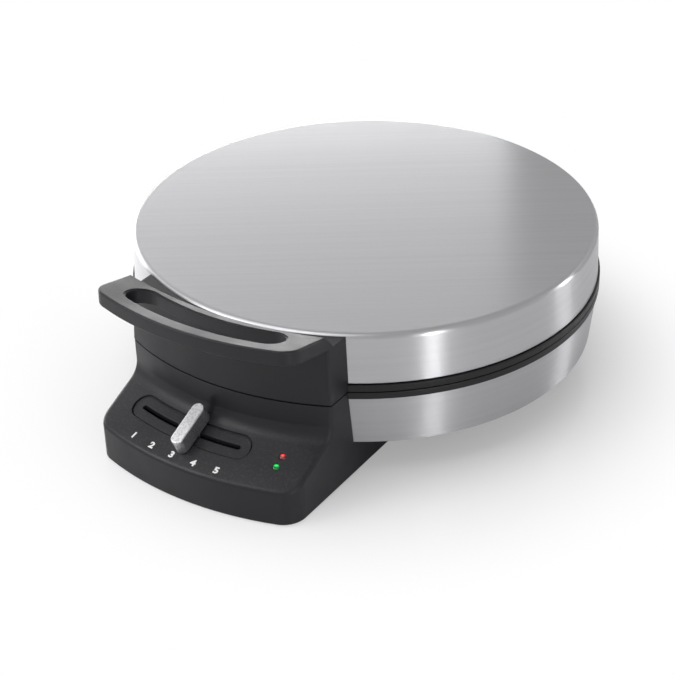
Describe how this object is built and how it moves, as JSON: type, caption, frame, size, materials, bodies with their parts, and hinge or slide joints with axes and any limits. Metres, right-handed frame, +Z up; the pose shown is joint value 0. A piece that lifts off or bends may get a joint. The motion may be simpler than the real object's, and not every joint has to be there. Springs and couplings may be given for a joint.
{
  "type": "heart waffle maker",
  "caption": "Round steel-cased heart waffle maker with a hinged lid, a rising loop handle at the front and a sloping control panel with a browning slider and lamps.",
  "frame": {"origin": "on the table under the middle of the overall box", "axes": "+Z up, the control panel and handle at -Y, the hinge and cord gland at +Y, +X to the right when facing the panel from the front"},
  "size_m": [0.224, 0.2812, 0.0846],
  "materials": {
    "brushed_steel": "fine brushed",
    "black_plastic": "fine matt texture",
    "knob_plastic": "satin silver",
    "cast_plate": "dark non-stick coating on cast aluminium",
    "zinc_steel": "bright zinc plated",
    "element_steel": "dull sheath",
    "reflector_sheet": "mill finish",
    "rubber": "matt",
    "red_lens": "clear red",
    "green_lens": "clear green",
    "light_plastic": "natural"
  },
  "bodies": {
    "base": {"base_bowl": "black_plastic", "base_band_left": "brushed_steel", "base_band_right": "brushed_steel", "foot_frame": "black_plastic", "bottom_plate": "black_plastic", "bottom_screws": "zinc_steel", "rubber_feet": "rubber", "frame_screws": "zinc_steel", "lower_baking_plate": "cast_plate", "lower_plate_screws": "zinc_steel", "lower_heating_element": "element_steel", "lower_heat_reflector": "reflector_sheet", "lower_reflector_screws": "zinc_steel", "thermostat_body": "zinc_steel", "thermostat_screws": "zinc_steel", "lower_thermal_fuse": "light_plastic", "power_lamp": "red_lens", "ready_lamp": "green_lens", "lamp_holder": "light_plastic", "terminal_block": "light_plastic", "cord_gland": "black_plastic", "hinge_pins": "zinc_steel"},
    "lid": {"lid_steel_cover": "brushed_steel", "lid_shell": "black_plastic", "front_handle": "black_plastic", "handle_screws": "zinc_steel", "lid_hinge_block": "black_plastic", "hinge_block_screws": "zinc_steel", "upper_baking_plate": "cast_plate", "upper_plate_screws": "zinc_steel", "upper_heating_element": "element_steel", "upper_heat_reflector": "reflector_sheet", "upper_reflector_screws": "zinc_steel", "upper_thermal_fuse": "light_plastic"},
    "slider": {"slider_knob": "knob_plastic", "slider_arm": "zinc_steel", "thermostat_spindle": "zinc_steel"}
  },
  "joints": [
    {"name": "lid_hinge", "type": "hinge", "parent": "base", "child": "lid", "pos_m": [0, 0.13105, 0.0455], "axis": [-1, 0, 0], "range_deg": [0, 100]},
    {"name": "browning_slider", "type": "hinge", "parent": "base", "child": "slider", "pos_m": [0, 0.01005, 0.02], "axis": [0, 0, 1], "range_deg": [-12.9, 8.9]}
  ]
}
